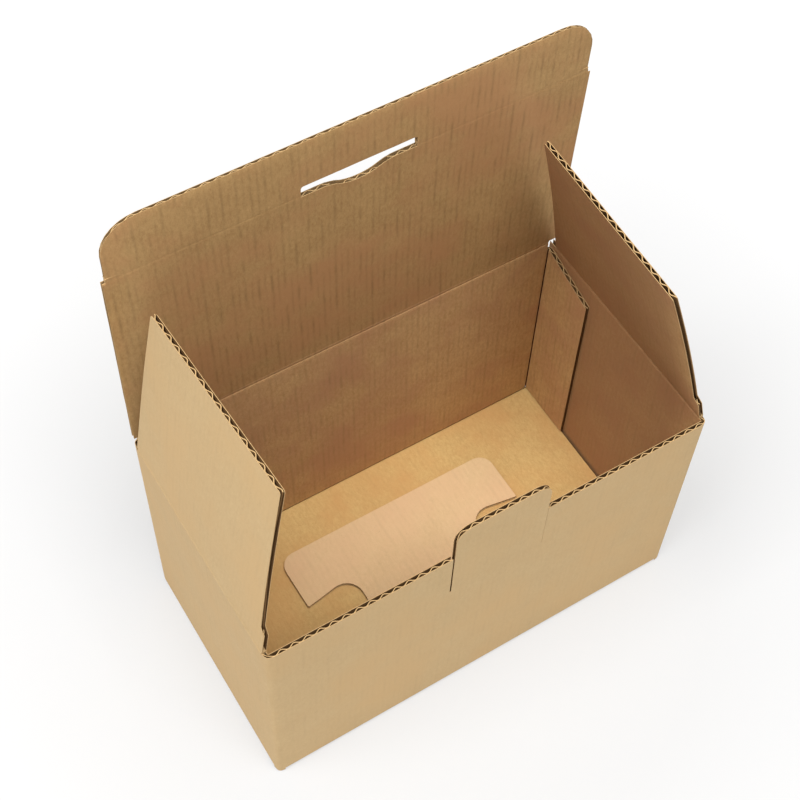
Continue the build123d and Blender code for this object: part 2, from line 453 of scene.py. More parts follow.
outside_liner = kraft_liner(
    "outside_liner", base=srgb(190, 162, 119), pale=srgb(200, 173, 129),
    dark=srgb(178, 149, 106), warm=srgb(193, 161, 115),
    glue_lines=0.08, sharpness=6.0, clouding=0.34,
)
inside_liner = kraft_liner(
    "inside_liner", base=srgb(193, 155, 105), pale=srgb(207, 171, 121),
    dark=srgb(164, 126, 80), warm=srgb(178, 132, 96),
    glue_lines=0.4, sharpness=8.0, clouding=0.6, right_side_shade=srgb(142, 101, 69),
)
# The next three are copies of the one inside liner, painted for light: the lid's darker as shade,
# the floor's and the tongue's lighter as light from above
painted_shade_lid_liner = kraft_liner(
    "painted_shade_lid_liner", base=srgb(171, 135, 86), pale=srgb(188, 153, 102),
    dark=srgb(143, 108, 67), warm=srgb(170, 124, 83),
    glue_lines=0.5, sharpness=8.0, clouding=0.5,
)
painted_light_floor_liner = kraft_liner(
    "painted_light_floor_liner", base=srgb(200, 167, 108), pale=srgb(210, 179, 120),
    dark=srgb(178, 142, 88), warm=srgb(196, 152, 96),
    glue_lines=0.1, sharpness=6.0, clouding=0.6,
)
painted_light_tongue_liner = kraft_liner(
    "painted_light_tongue_liner", base=srgb(211, 181, 138), pale=srgb(220, 191, 148),
    dark=srgb(195, 164, 121), warm=srgb(211, 176, 136),
    glue_lines=0.12, sharpness=4.0, clouding=0.4,
)
medium = kraft_core("medium", crest=srgb(132, 98, 60), trough=srgb(88, 63, 38))
# Painted light: a lighter copy of the medium, against the shade in its flutes at the cut edges of
# the lid, the tuck flap and the tongue
painted_light_medium = kraft_core("painted_light_medium", crest=srgb(196, 164, 116), trough=srgb(150, 120, 82))
rim = cut_rim("cut_rim", pale=srgb(210, 178, 130), dark=srgb(158, 124, 80))
# Painted shade: a dark paper laid along the inner side of folds, where shade falls in the crease
crease_shade_paper = cut_rim("painted_crease_shade", pale=srgb(92, 64, 40), dark=srgb(66, 45, 27))

# In the order of OUTSIDE, INSIDE, CORE, RIM and the painted crease shade
WALL_PAPERS = (outside_liner, inside_liner, medium, rim, crease_shade_paper)
LID_PAPERS = (outside_liner, painted_shade_lid_liner, painted_light_medium, rim, crease_shade_paper)
FLOOR_PAPERS = (outside_liner, painted_light_floor_liner, medium, rim, crease_shade_paper)
TONGUE_PAPERS = (outside_liner, painted_light_tongue_liner, painted_light_medium, rim, crease_shade_paper)


# ---------------------------------------------------------------- flat sheets


def round_corners(bm, rounding):
    """Rounds chosen corners of a flat outline. Each entry is the corner's place and its radius."""
    for corner, radius in rounding:
        near = [v for v in bm.verts if (v.co.xy - Vector(corner)).length < 0.01]
        bmesh.ops.bevel(
            bm, geom=near, offset=radius, offset_type="OFFSET", segments=7,
            profile=0.5, affect="VERTICES", material=-1,
        )


def trim(bm, point, away, **how):
    """Cuts a mesh along the line in its plane through point, square to away."""
    bmesh.ops.bisect_plane(
        bm, geom=bm.verts[:] + bm.edges[:] + bm.faces[:], dist=1e-4,
        plane_co=(*point, 0), plane_no=(*away, 0), **how,
    )


def thicken(bm, faces, low, high):
    """Gives flat faces a thickness. Returns the new faces on top."""
    raised = bmesh.ops.extrude_face_region(bm, geom=faces, use_keep_orig=True)["geom"]
    upper = [g for g in raised if isinstance(g, bmesh.types.BMVert)]
    bmesh.ops.translate(bm, vec=(0, 0, high - low), verts=upper)
    return [g for g in raised if isinstance(g, bmesh.types.BMFace)]


def liner_sheet(outline, rounding, across, along, low, high, face_up, face_down):
    """One liner of a flat board, from height low to height high."""
    bm = bmesh.new()
    bm.faces.new([bm.verts.new((x, y, low)) for x, y in outline])
    round_corners(bm, rounding)
    for x in across:
        trim(bm, (x, 0), (1, 0))
    for y in along:
        trim(bm, (0, y), (0, 1))
    bmesh.ops.recalc_face_normals(bm, faces=bm.faces[:])
    if sum(f.normal.z * f.calc_area() for f in bm.faces) > 0:
        bmesh.ops.reverse_faces(bm, faces=bm.faces[:])
    bottom = bm.faces[:]
    top = thicken(bm, bottom, low, high)
    for face in bm.faces:
        face.material_index = RIM
    for faces, paper in ((bottom, face_down), (top, face_up)):
        for face in faces:
            face.material_index = paper
    bmesh.ops.recalc_face_normals(bm, faces=bm.faces[:])
    return bm


def wave_sheet(left, right, foot, head, trims, rows, blank):
    """The medium between two liners: a wave across X, trimmed to the board's shape."""
    count = max(2, int((right - left) / PITCH * STEPS_PER_WAVE))
    bm = bmesh.new()
    bmesh.ops.create_grid(bm, x_segments=count, y_segments=rows, size=0.5)
    bmesh.ops.scale(bm, vec=(right - left, head - foot, 1), verts=bm.verts[:])
    bmesh.ops.translate(bm, vec=((left + right) / 2, (foot + head) / 2, 0), verts=bm.verts[:])
    swing = HALF - LINER - MEDIUM / 2
    for v in bm.verts:
        v.co.z = swing * math.sin(2 * math.pi * blank.across(v.co.x, v.co.y) / PITCH)
    for point, away in trims:
        trim(bm, point, away, clear_outer=True)
    bmesh.ops.recalc_face_normals(bm, faces=bm.faces[:])
    bmesh.ops.solidify(bm, geom=bm.faces[:], thickness=MEDIUM)
    bmesh.ops.recalc_face_normals(bm, faces=bm.faces[:])
    for face in bm.faces:
        face.material_index = RIM if abs(face.normal.y) > 0.1 else CORE
    return bm


def round_trims(corner, radius, toward):
    """Straight trims that follow a rounded corner, a hair inside it. toward is +1 or -1 in X."""
    cx = corner[0] - toward * radius
    cy = corner[1] - radius
    trims = []
    for degrees in (15, 30, 45, 60, 75):
        a = math.radians(degrees)
        away = (toward * math.cos(a), math.sin(a))
        reach = radius - FINE_INSET
        trims.append(((cx + away[0] * reach, cy + away[1] * reach), away))
    return trims


def round_tips(left, right, head, radius):
    """The trims of a board's two rounded outer corners: first the right one's."""
    return round_trims((right, head), radius, 1) + round_trims((left, head), radius, -1)


def tapering_sides(half, run, taper):
    """The trims of a panel that narrows on both sides by taper over its run."""
    slant = Vector((run, taper)).normalized()
    edge = half - WIDE_INSET
    return [((edge, 0), (slant.x, slant.y)), ((-edge, 0), (-slant.x, slant.y))]


def grid_lines(start, end, pitch):
    count = max(1, int(round((end - start) / pitch)))
    return [start + (end - start) * i / count for i in range(1, count)]


def fray(bm, joins):
    """A knife's small wander along every cut edge of a sheet that is still flat."""
    for v in bm.verts:
        at_join = any(abs(v.co.y - join) < 0.3 for join in joins)
        if not at_join and any(f.material_index == RIM for f in v.link_faces):
            v.co.x += KNIFE_WANDER * noise.noise(Vector((v.co.x * 0.6, v.co.y * 0.6, 3.0)))
            v.co.y += KNIFE_WANDER * noise.noise(Vector((v.co.y * 0.6, v.co.x * 0.6, 9.0)))


def carry_on(bm, paper, joins):
    """Where the board goes on as a crease, its end shows the liner's paper and no cut."""
    for face in bm.faces:
        middle = face.calc_center_median().y
        if face.material_index == RIM and any(abs(middle - join) < 0.1 for join in joins):
            face.material_index = paper


def paint_crease_shade(sheet, axis, lines, width):
    """Paints shade along the pressed inner side of each fold by giving those faces the dark crease
    paper.
    """
    for face in sheet.faces:
        middle = face.calc_center_median()[axis]
        if face.material_index == INSIDE and any(abs(middle - line) < width for line in lines):
            face.material_index = CREASE_SHADE


class Blank:
    """Where a board lies on the flat blank that the whole carton is cut from."""

    def __init__(self, left=0.0, foot=0.0, turned=1):
        self.left = left
        self.foot = foot
        self.turned = turned

    def across(self, x, y):
        """How far across the flutes a place is: the flutes run a little askew to the die."""
        return self.left + self.turned * x + FLUTE_SKEW * (self.foot + y)

    def mark(self, bm):
        """Notes each corner's place on the blank as its UV, in metres."""
        uv = bm.loops.layers.uv.new("sheet")
        for face in bm.faces:
            for loop in face.loops:
                at = loop.vert.co
                loop[uv].uv = (self.across(at.x, at.y) * MM, (self.foot + at.y) * MM)


def lay_out(sheets, blank):
    """Joins flat sheets into one mesh that knows its place on the blank."""
    whole = bmesh.new()
    for bm in sheets:
        blank.mark(bm)
        carrier = bpy.data.meshes.new("carrier")
        bm.to_mesh(carrier)
        bm.free()
        whole.from_mesh(carrier)
        bpy.data.meshes.remove(carrier)
    return whole


def board_sheets(outline, rounding, across, along, waves, blank, crease_shades=(), joins=()):
    """The two liners and the medium of one flat board, whose middle is at height 0."""
    outer = liner_sheet(outline, rounding, across, along, HALF - LINER, HALF, OUTSIDE, CORE)
    inner = liner_sheet(outline, rounding, across, along, -HALF, LINER - HALF, CORE, INSIDE)
    # Painted shade along the inner side of the given folds
    for axis, lines, width in crease_shades:
        paint_crease_shade(inner, axis, lines, width)
    for sheet, paper in ((outer, OUTSIDE), (inner, INSIDE)):
        carry_on(sheet, paper, joins)
        fray(sheet, joins)
    return lay_out([outer, inner] + [wave_sheet(*wave, blank) for wave in waves], blank)


def finish_board(name, whole, place, body, nodes=(), papers=WALL_PAPERS):
    """Moves every point of a flat board to its place and hangs the board on its body."""
    for v in whole.verts:
        v.co = place(v.co) * MM
    mesh = bpy.data.meshes.new(name)
    bmesh.ops.recalc_face_normals(whole, faces=whole.faces[:])
    for face in whole.faces:
        face.smooth = True
    whole.to_mesh(mesh)
    whole.free()
    mesh.set_sharp_from_angle(angle=math.radians(SHARP_ANGLE))
    piece = bpy.data.objects.new(name, mesh)
    bpy.context.scene.collection.objects.link(piece)
    for paper in papers:
        mesh.materials.append(paper)
    if body:
        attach(piece, body)
    if nodes:
        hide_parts(*nodes)
    return piece


# ---------------------------------------------------------------- folding


class FoldPath:
    """The middle line of a board that is folded about parallel creases, seen from its end."""

    def __init__(self, points, radius):
        self.parts = []
        self.creases = []
        self.ways = []
        at = 0.0
        here = Vector(points[0])
        for index in range(1, len(points)):
            target = Vector(points[index])
            heading = (target - here).normalized()
            length = (target - here).length
            if index < len(points) - 1:
                after = (Vector(points[index + 1]) - target).normalized()
                turn = heading.angle_signed(after)
                cut = radius * math.tan(abs(turn) / 2)
                self.parts.append(("line", at, at + length - cut, here.copy(), heading, 0.0))
                at += length - cut
                here = target - heading * cut
                swept = radius * abs(turn)
                self.parts.append(("arc", at, at + swept, here.copy(), heading, -turn))
                self.creases.append(at + swept / 2)
                self.ways.append(-1 if turn > 0 else 1)
                at += swept
                here = target + after * cut
            else:
                self.parts.append(("line", at, at + length, here.copy(), heading, 0.0))
                at += length
        self.radius = radius
        self.end = at

    def at(self, along, offset):
        """The point at a distance along the line, and offset to the left of it."""
        part = next((p for p in self.parts if along <= p[2] + 1e-6), self.parts[-1])
        kind, start, _, here, heading, turn = part
        run = along - start
        offset *= self.squeeze(along, offset)
        left = Vector((-heading.y, heading.x))
        if kind == "line":
            return here + heading * run + left * offset
        way = 1 if turn > 0 else -1
        spin = Matrix.Rotation(run / self.radius * way, 2)
        centre = here + left * self.radius * way
        return centre + spin @ (here - centre) + (spin @ left) * offset

    def squeeze(self, along, offset):
        """How much of the board's thickness is left beside a crease, pressed from inside."""
        left = 1.0
        for crease, way in zip(self.creases, self.ways):
            gap = abs(along - crease)
            if offset * way > 0:
                left = min(left, 1.0 - INNER_PRESS * math.exp(-(gap / INNER_REACH) ** 2))
            else:
                left = min(left, 1.0 - OUTER_PRESS * max(0.0, 1.0 - (gap / OUTER_REACH) ** 2))
        return left

    def near_creases(self):
        """Where to divide a sheet so that it bends smoothly."""
        steps = (0.35, 0.7, 1.1, 1.7, 2.6)
        return [c + d for c in self.creases for d in [-s for s in steps] + [0.0, *steps]]


def hinge_frame(origin, across, up):
    across = Vector(across)
    up = Vector(up)
    return Vector(origin), across, up, across.cross(up)


def stand_up(origin, across, up, bow=None):
    """Places a flat board in a hinge's frame, with an optional gentle bow out of its plane."""
    origin, across, up, out = hinge_frame(origin, across, up)

    def place(p):
        lift = bow(p.x, p.y) if bow else 0.0
        return origin + across * p.x + up * p.y + out * (p.z + lift)
    return place


# ---------------------------------------------------------------- the sleeve

sleeve_path = FoldPath(
    [
        (SIDE_X, DEPTH / 2), (SIDE_X, -WALL_Y), (-SIDE_X, -WALL_Y), (-SIDE_X, WALL_Y),
        (GLUE_X, WALL_Y), (GLUE_X, GLUE_FRONT),
    ],
    FOLD,
)
corner_right, corner_left, corner_back, corner_glue = sleeve_path.creases
back_middle = corner_back + SIDE_X


def front_s(x):
    """Where a place along the front wall lies on the flat sheet."""
    return corner_right + SIDE_X - x


def right_s(y):
    """Where a place along the right wall lies on the flat sheet."""
    return DEPTH / 2 - y


def left_s(y):
    """Where a place along the left wall lies on the flat sheet."""
    return corner_left + y + WALL_Y


def sleeve_outline():
    """The walls, the tab and the glue flap laid flat, from the right wall's rear edge."""
    panel, back_panel_fold, end = FOLD_START, BACK_FOLD_START, sleeve_path.end
    side_top, back_top = WALL - CREASE, LID_AXIS - LID_CREASE
    bottom = [(0, panel)]
    for corner in (corner_right, corner_left):
        start, stop = corner - FOOT_HALF, corner + FOOT_HALF
        bottom += [(start, panel), (start, FOOT_LIFT), (stop, FOOT_LIFT), (stop, panel)]
    bottom += [
        (corner_back - BACK_START, panel), (corner_back - BACK_START, back_panel_fold),
        (corner_glue - FOOT_HALF, back_panel_fold),
        (corner_glue - FOOT_HALF, back_panel_fold + GLUE_LIFT), (end, back_panel_fold + GLUE_LIFT),
    ]
    slit_left, slit_right = front_s(TAB_LEFT - LEFT_SLIT), front_s(TAB_RIGHT + RIGHT_SLIT)
    tab_left, tab_right = front_s(TAB_LEFT), front_s(TAB_RIGHT)
    top = [
        (end, GLUE_TIP),
        (corner_glue + GLUE_START, GLUE_TOP), (corner_glue - GLUE_START, GLUE_TOP),
        (corner_glue - GLUE_START, back_top), (corner_back + BACK_START, back_top),
        (corner_back + BACK_START, WALL),
        (left_s(FLAP_REAR), WALL), (left_s(FLAP_REAR), side_top),
        (left_s(FLAP_FRONT), side_top), (left_s(FLAP_FRONT), WALL),
        (slit_left, WALL), (slit_left, SLIT_FOOT), (tab_left, SLIT_FOOT), (tab_left, TAB_TOP),
        (tab_right, TAB_TOP), (tab_right, SLIT_FOOT), (slit_right, SLIT_FOOT), (slit_right, WALL),
        (right_s(FLAP_FRONT), WALL), (right_s(FLAP_FRONT), side_top),
        (right_s(FLAP_REAR), side_top), (right_s(FLAP_REAR), WALL), (0, WALL),
    ]
    return bottom + top


def sleeve_waves():
    """The medium of each wall, the tab and the glue flap."""
    side_top, front_top = WALL - CREASE - WIDE_INSET, WALL - INSET
    back_top, glue_top = LID_AXIS - LID_CREASE - WIDE_INSET, GLUE_TOP - WIDE_INSET
    foot, back_foot = FOLD_START + FINE_INSET, BACK_FOLD_START + FINE_INSET
    glue_foot = BACK_FOLD_START + GLUE_LIFT + WIDE_INSET
    right_end, left_end = corner_right - CORNER_RUN, corner_left + CORNER_RUN
    tab_start, tab_stop = front_s(TAB_RIGHT) + FINE_INSET, front_s(TAB_LEFT) - FINE_INSET
    tab_head = TAB_TOP - INSET
    tab_trims = round_tips(tab_start, tab_stop, tab_head, TAB_CORNER)
    slope = math.atan2(GLUE_TOP - GLUE_TIP, GLUE_WIDTH - GLUE_START)
    glue_trim = [((corner_glue + GLUE_START, glue_top), (math.sin(slope), math.cos(slope)))]
    glue_start, glue_end = corner_glue - GLUE_START, sleeve_path.end - INSET
    return [
        (INSET, right_end, foot, side_top, [], 4),
        (right_end, tab_start - RIGHT_SLIT - WIDE_INSET, foot, front_top, [], 4),
        (tab_start, tab_stop, foot, tab_head, tab_trims, 4),
        (tab_stop + LEFT_SLIT + WIDE_INSET, left_end, foot, front_top, [], 4),
        (left_end, corner_back, foot, side_top, [], 4),
        (corner_back, glue_start, back_foot, back_top, [], 4),
        (glue_start, glue_end, glue_foot, glue_top, glue_trim, 4),
    ]


def back_wall_sag(s, h):
    """The slight inward sag of the back wall between its creases."""
    if not corner_back <= s <= corner_glue:
        return 0.0
    share = (s - corner_back) / (corner_glue - corner_back)
    rise = min(1.0, max(0.0, h / LID_AXIS))
    return -BACK_SAG * math.sin(math.pi * share) * math.sin(math.pi * rise)


def place_sleeve(p):
    flat = sleeve_path.at(p.x, p.z + back_wall_sag(p.x, p.y))
    return Vector((flat.x, flat.y, p.y))


def sleeve():
    corners = [((front_s(x), TAB_TOP), TAB_CORNER) for x in (TAB_LEFT, TAB_RIGHT)]
    cuts = sleeve_path.near_creases() + grid_lines(0, sleeve_path.end, PATCH)
    rows = grid_lines(0, TAB_TOP, LONG_PATCH)
    crease_shades = [(0, sleeve_path.creases, WALL_SHADE_WIDTH)]
    joins = (WALL - CREASE, LID_AXIS - LID_CREASE)
    sheets = board_sheets(
        sleeve_outline(), corners, cuts, rows, sleeve_waves(), Blank(), crease_shades, joins
    )
    finish_board("sleeve", sheets, place_sleeve, "body", ["body"])


sleeve()


# ---------------------------------------------------------------- the bottom


def bottom_place(path, origin, across):
    """Places a bottom panel: the path gives how far in from the wall and how high."""
    origin, across = Vector(origin), Vector(across)
    inward = Vector((0, 0, 1)).cross(across)

    def place(p):
        run = path.at(p.y, -p.z)
        return origin + across * p.x + inward * run.x + Vector((0, 0, run.y))
    return place


def wall_to_floor(*further):
    """The path of a bottom panel: down its wall, round the fold and in, then any more bends."""
    return FoldPath([(0, FOLD_START), (0, PANEL_LEVEL), *further], PANEL_FOLD)


def length_gained(path):
    """How much further along the sheet a place on the floor is than its distance from the wall."""
    return path.creases[0] * 2 - FOLD


def front_panel():
    """The outermost panel, whose root ramps up through the back panel to the tongue."""
    start, stop = WALL_Y + ROOT_START, WALL_Y + ROOT_START + ROOT_RUN
    flat_path = wall_to_floor((PANEL_RUN, PANEL_LEVEL))
    root_path = wall_to_floor(
        (start, PANEL_LEVEL), (stop, TONGUE_LEVEL), (PANEL_RUN, TONGUE_LEVEL)
    )
    gained = length_gained(flat_path)
    ramp_gained = math.hypot(ROOT_RUN, TONGUE_LEVEL - PANEL_LEVEL) - ROOT_RUN

    half = LENGTH / 2 - BOARD
    end = half - FRONT_TAPER
    left, right = TONGUE_MIDDLE - ROOT_HALF, TONGUE_MIDDLE + ROOT_HALF
    left_ear, right_ear = TONGUE_MIDDLE - EAR_HALF, TONGUE_MIDDLE + EAR_HALF
    shoulder = WALL_Y + FRONT_END + gained
    cut = start - ROOT_CUT + gained
    near = WALL_Y + TONGUE_NEAR + gained + ramp_gained
    neck = near + NECK
    far = near + TONGUE_DEPTH
    outline = [
        (-half, 0), (half, 0), (end, shoulder), (right + ROOT_GAP, shoulder),
        (right + ROOT_GAP, cut), (right, cut), (right, neck), (right_ear, near),
        (right_ear, far), (left_ear, far), (left_ear, near), (left, neck), (left, cut),
        (left - ROOT_GAP, cut), (left - ROOT_GAP, shoulder), (-end, shoulder),
    ]
    rounding = [
        ((end, shoulder), FRONT_CORNER), ((-end, shoulder), FRONT_CORNER),
        ((right_ear, far), EAR_CORNER), ((left_ear, far), EAR_CORNER),
        ((right, neck), NECK_CORNER), ((left, neck), NECK_CORNER),
        ((right_ear, near), EAR_POINT), ((left_ear, near), EAR_POINT),
    ]

    head, front_head = far - INSET, shoulder - INSET
    sides = tapering_sides(half, shoulder, FRONT_TAPER)
    flare = Vector((neck - near, EAR_HALF - ROOT_HALF)).normalized()
    right_trims = round_trims((right_ear - INSET, head), EAR_CORNER, 1)
    right_trims.append(((right_ear, near + INSET), (-flare.x, -flare.y)))
    left_trims = round_trims((left_ear + INSET, head), EAR_CORNER, -1)
    left_trims.append(((left_ear, near + INSET), (flare.x, -flare.y)))
    ramp_foot = root_path.creases[1] + BEND_CLEAR
    ramp_head = root_path.creases[2] - BEND_CLEAR
    waves = [
        (-half, left - ROOT_GAP - INSET, PANEL_FOOT, front_head, sides, 3),
        (right + ROOT_GAP + INSET, half, PANEL_FOOT, front_head, sides, 3),
        (left + FINE_INSET, right - FINE_INSET, ramp_foot, ramp_head, [], 1),
        (left - NECK_CORNER, right + NECK_CORNER, neck - 1, head, [], 2),
        (left_ear + INSET, left - NECK_CORNER, near, head, left_trims, 2),
        (right + NECK_CORNER, right_ear - INSET, near, head, right_trims, 2),
    ]
    flat, raised = (
        bottom_place(path, (0, -WALL_Y, 0), (1, 0, 0)) for path in (flat_path, root_path)
    )

    def place(p):
        in_root = abs(p.x - TONGUE_MIDDLE) < ROOT_HALF + ROOT_GAP / 2
        return raised(p) if in_root or p.y > shoulder + 0.5 else flat(p)

    cuts = grid_lines(-half, half, PATCH)
    rows = root_path.near_creases() + grid_lines(0, far, PATCH)
    blank = Blank(corner_right + SIDE_X, 0, -1)
    sheets = board_sheets(outline, rounding, cuts, rows, waves, blank)
    finish_board("front_panel", sheets, place, "body", papers=TONGUE_PAPERS)


def side_panel(name, side):
    """A side's bottom panel, which ramps up to lie on the front panel."""
    path = wall_to_floor(
        (SIDE_RAMP_START, PANEL_LEVEL), (SIDE_RAMP_START + SIDE_RAMP_RUN, SIDE_LEVEL),
        (SIDE_RUN, SIDE_LEVEL),
    )
    reach = SIDE_X - SIDE_END + length_gained(path)
    half = DEPTH / 2 - BOARD - SIDE_GAP
    end = half - SIDE_TAPER
    outline = [(-half, 0), (half, 0), (end, reach), (-end, reach)]
    rounding = [((end, reach), SIDE_CORNER), ((-end, reach), SIDE_CORNER)]
    sides = tapering_sides(half, reach, SIDE_TAPER)
    wall_fold, _, ramp_head = path.creases
    waves = [(-half, half, ramp_head + BEND_CLEAR, reach - WIDE_INSET, sides, 3)]
    cuts = grid_lines(-half, half, LONG_PATCH)
    crease_shades = [(1, [wall_fold], SIDE_SHADE_WIDTH)]
    sheets = board_sheets(
        outline, rounding, cuts, path.near_creases(), waves, Blank(), crease_shades
    )
    place = bottom_place(path, (side * SIDE_X, 0, 0), (0, side, 0))
    finish_board(name, sheets, place, "body", papers=FLOOR_PAPERS)


def back_panel():
    """The innermost panel, whose two toes stand either side of the tongue's root.

    It is laid out from behind, so its X is turned round.
    """
    path = FoldPath(
        [(0, BACK_FOLD_START), (0, BACK_LEVEL), (PANEL_RUN, BACK_LEVEL)], PANEL_FOLD
    )
    gained = length_gained(path)
    reach = WALL_Y + BACK_REACH + gained
    recess = WALL_Y + RECESS_HEAD + gained
    half = LENGTH / 2 - BOARD - BACK_GAP
    left, right = -TONGUE_MIDDLE - RECESS_HALF, -TONGUE_MIDDLE + RECESS_HALF
    outline = [
        (-half, 0), (half, 0), (half, reach - TOE), (half - TOE / 2, reach),
        (right + TOE_SLOPE, reach), (right, reach - TOE), (right, recess), (left, recess),
        (left, reach - TOE), (left - TOE_SLOPE, reach), (TOE / 2 - half, reach),
        (-half, reach - TOE),
    ]
    edge, recess_foot, toe_head = half - FINE_INSET, recess - FINE_INSET, reach - WIDE_INSET
    waves = [
        (-edge, edge, PANEL_FOOT, recess_foot, [], 3),
        (-edge, left - FINE_INSET, recess_foot, toe_head, [], 2),
        (right + FINE_INSET, edge, recess_foot, toe_head, [], 2),
    ]
    cuts = grid_lines(-half, half, BACK_PATCH)
    rows = path.near_creases() + grid_lines(0, reach, BACK_PATCH)
    crease_shades = [(1, [path.creases[0]], BACK_SHADE_WIDTH)]
    sheets = board_sheets(outline, [], cuts, rows, waves, Blank(), crease_shades)
    place = bottom_place(path, (0, WALL_Y, 0), (-1, 0, 0))
    finish_board("back_panel", sheets, place, "body", papers=FLOOR_PAPERS)


front_panel()
side_panel("left_bottom_panel", -1)
side_panel("right_bottom_panel", 1)
back_panel()


# ---------------------------------------------------------------- flaps and lid


def dust_flap(name, side, blank, lean, bow):
    """A side's dust flap, standing on its crease and leaning in."""
    a = math.radians(lean)
    top_rear = FLAP_REAR - FLAP_SLANT
    inner_front, step_top = FLAP_FRONT + FLAP_STEP, FLAP_SHOULDER + FLAP_STEP
    outline = [
        (FLAP_FRONT, CREASE), (FLAP_REAR, CREASE), (top_rear, FLAP_HEIGHT),
        (FLAP_TOP_FRONT, FLAP_HEIGHT), (inner_front, step_top), (FLAP_FRONT, FLAP_SHOULDER),
    ]
    rounding = [((x, FLAP_HEIGHT), FLAP_CORNER) for x in (top_rear, FLAP_TOP_FRONT)]
    front_slant = Vector((step_top - FLAP_HEIGHT, FLAP_TOP_FRONT - inner_front)).normalized()
    rear_slant = Vector((FLAP_HEIGHT, FLAP_SLANT)).normalized()
    trims = [
        ((FLAP_REAR - WIDE_INSET, 0), (rear_slant.x, rear_slant.y)),
        ((inner_front + WIDE_INSET, step_top), (front_slant.x, front_slant.y)),
    ]
    foot = CREASE + FINE_INSET
    waves = [
        (inner_front, FLAP_REAR, foot, FLAP_HEIGHT - WIDE_INSET, trims, 10),
        (FLAP_FRONT + INSET, inner_front, foot, FLAP_SHOULDER, [], 2),
    ]
    cuts = grid_lines(FLAP_FRONT, FLAP_REAR, PATCH)
    rows = grid_lines(0, FLAP_HEIGHT, PATCH)
    sheets = board_sheets(outline, rounding, cuts, rows, waves, blank, joins=(CREASE,))
    lay = stand_up(
        (side * SIDE_X, 0, WALL), (0, side, 0), (-side * math.sin(a), 0, math.cos(a)), bow
    )

    def place(p):
        return lay(Vector((side * p.x, p.y, p.z)))
    finish_board(name + "_board", sheets, place, name, [name])


def curl(bulge, twist):
    """The bow of a flap: a bulge at mid height, and a twist that grows towards its top."""
    def lift(x, y):
        share = min(1.0, max(0.0, y / FLAP_HEIGHT))
        crown = math.sin(math.pi * share) * math.cos(x / FLAP_CROWN)
        return bulge * crown + twist * x / FLAP_HALF * share ** 1.3
    return lift


def lid_bow(x, y):
    """The lid bulges back a little in its middle."""
    share = min(1.0, max(0.0, y / LID))
    return LID_BULGE * math.sin(math.pi * share) * math.cos(math.pi * x / LENGTH)


def lid_board():
    """The lid laid flat, with the slot's edge and the finger dip at its head."""
    half, head, dip = LID_HALF, LID - CREASE, SLOT_LOW - DIP_DEPTH
    outline = [
        (-half, LID_CREASE), (half, LID_CREASE), (half, head), (SLOT_HALF, head),
        (SLOT_HALF, SLOT_LOW), (DIP_HALF, SLOT_LOW), (DIP_FLAT, dip), (-DIP_FLAT, dip),
        (-DIP_HALF, SLOT_LOW), (-SLOT_HALF, SLOT_LOW), (-SLOT_HALF, head), (-half, head),
    ]
    rounding = [((x, SLOT_LOW), DIP_CORNER) for x in (-DIP_HALF, DIP_HALF)]
    rounding += [((x, dip), DIP_CORNER) for x in (-DIP_FLAT, DIP_FLAT)]
    edge, foot, crest = half - INSET, LID_CREASE + FINE_INSET, head - FINE_INSET
    waves = [
        (-edge, -DIP_HALF, foot, crest, [], 10),
        (-DIP_HALF, DIP_HALF, foot, dip - WIDE_INSET, [], 10),
        (DIP_HALF, edge, foot, crest, [], 10),
        (-SLOT_HALF, -DIP_HALF, crest, SLOT_LOW - WIDE_INSET, [], 1),
        (DIP_HALF, SLOT_HALF, crest, SLOT_LOW - WIDE_INSET, [], 1),
    ]
    cuts, rows = grid_lines(-half, half, PATCH), grid_lines(0, LID, PATCH)
    return board_sheets(outline, rounding, cuts, rows, waves, lid_blank, joins=(LID_CREASE, head))


def tuck_board():
    """The tuck flap laid flat, with the slot's other edge at its foot."""
    half = TUCK_HALF
    outline = [
        (-half, CREASE), (-SLOT_HALF, CREASE), (-SLOT_HALF, SLOT_HIGH), (SLOT_HALF, SLOT_HIGH),
        (SLOT_HALF, CREASE), (half, CREASE), (half, TUCK), (-half, TUCK),
    ]
    rounding = [((x, TUCK), TUCK_CORNER) for x in (half, -half)]
    rounding += [((x, SLOT_HIGH), SLOT_CORNER) for x in (SLOT_HALF, -SLOT_HALF)]
    edge, head, foot = half - INSET, TUCK - INSET, CREASE + FINE_INSET
    tips = round_tips(-edge, edge, head, TUCK_CORNER)
    waves = [
        (-edge, -SLOT_HALF, foot, head, tips, 4),
        (-SLOT_HALF, SLOT_HALF, SLOT_HIGH + WIDE_INSET, head, tips, 4),
        (SLOT_HALF, edge, foot, head, tips, 4),
    ]
    cuts = grid_lines(-half, half, PATCH)
    cuts += [side * (half - step) for side in (-1, 1) for step in TUCK_STEPS]
    rows = grid_lines(0, TUCK, TUCK_PATCH) + [TUCK - step for step in TUCK_STEPS]
    return board_sheets(outline, rounding, cuts, rows, waves, tuck_blank, joins=(CREASE,))


def pressed_rim(p):
    """The tuck flap's rim is pressed thin, so that it slides in behind the front wall."""
    beyond_x = max(abs(p.x) - (TUCK_HALF - TUCK_CORNER), 0.0)
    beyond_y = max(p.y - (TUCK - TUCK_CORNER), 0.0)
    if min(beyond_x, beyond_y) > 0:
        from_rim = TUCK_CORNER - math.hypot(beyond_x, beyond_y)
    else:
        from_rim = min(TUCK_HALF - abs(p.x), TUCK - p.y)
    press = TUCK_PRESS * math.exp(-max(0.0, from_rim) / TUCK_PRESS_WIDTH)
    return Vector((p.x, p.y, p.z * (1 - press)))


lid_angle = math.radians(LID_LEAN)
lid_up = Vector((0, -math.sin(lid_angle), math.cos(lid_angle)))
lid_foot = Vector((0, WALL_Y, LID_AXIS))
tuck_foot = lid_foot + lid_up * LID
lid_blank = Blank(back_middle, LID_AXIS, -1)
tuck_blank = Blank(back_middle, LID_AXIS + LID, -1)
right_blank = Blank(DEPTH / 2, WALL, -1)

